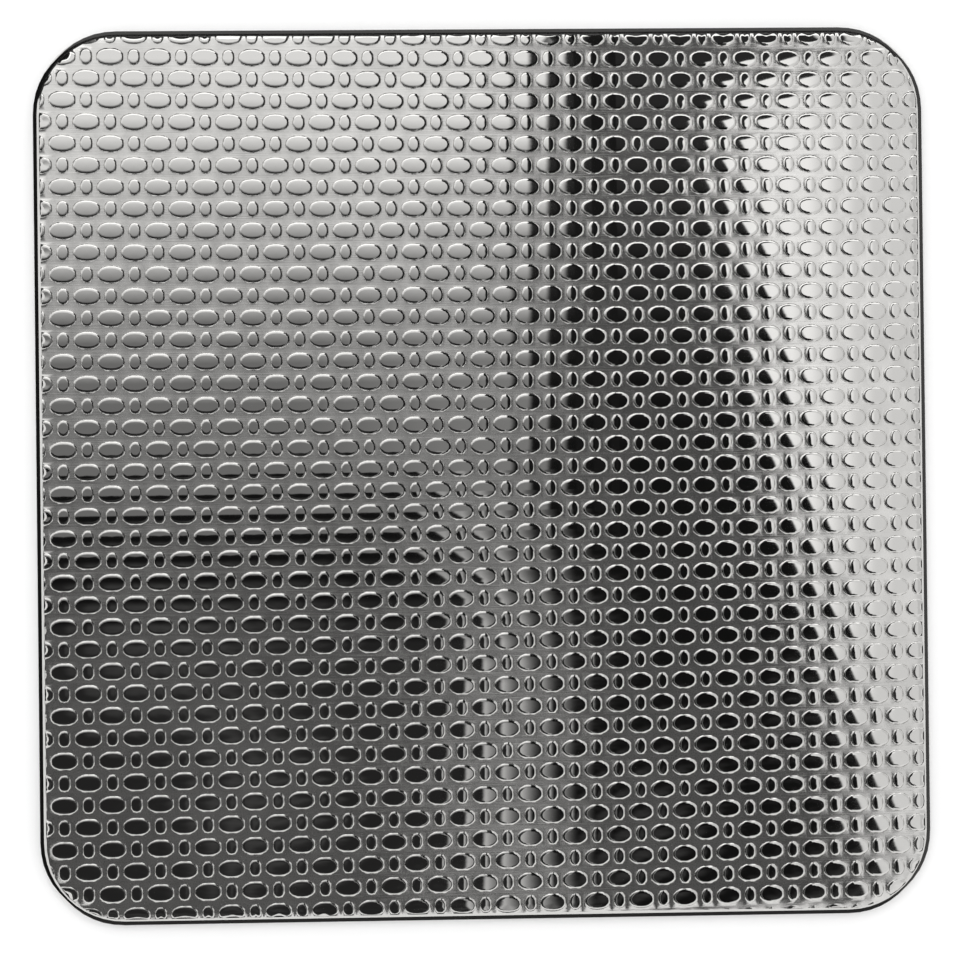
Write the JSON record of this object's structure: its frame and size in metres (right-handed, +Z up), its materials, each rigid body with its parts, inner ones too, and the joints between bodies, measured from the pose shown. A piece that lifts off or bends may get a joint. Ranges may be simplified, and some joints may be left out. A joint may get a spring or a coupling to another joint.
{
  "type": "embossed stainless steel sheet",
  "caption": "Square stainless steel sheet with rounded corners, its edge turned down all round and staggered rows of long and short oval bosses raised over its face.",
  "frame": {"origin": "middle of the sheet, on the level of the rim that it lies on", "axes": "+X along the rows of bosses, +Y across the rows, +Z up, out of the embossed face"},
  "size_m": [0.1016, 0.1016, 0.0034],
  "materials": {
    "stainless_steel": "bright on the bosses, satin between them"
  },
  "bodies": {
    "root": {"embossed_sheet": "stainless_steel"}
  },
  "joints": []
}
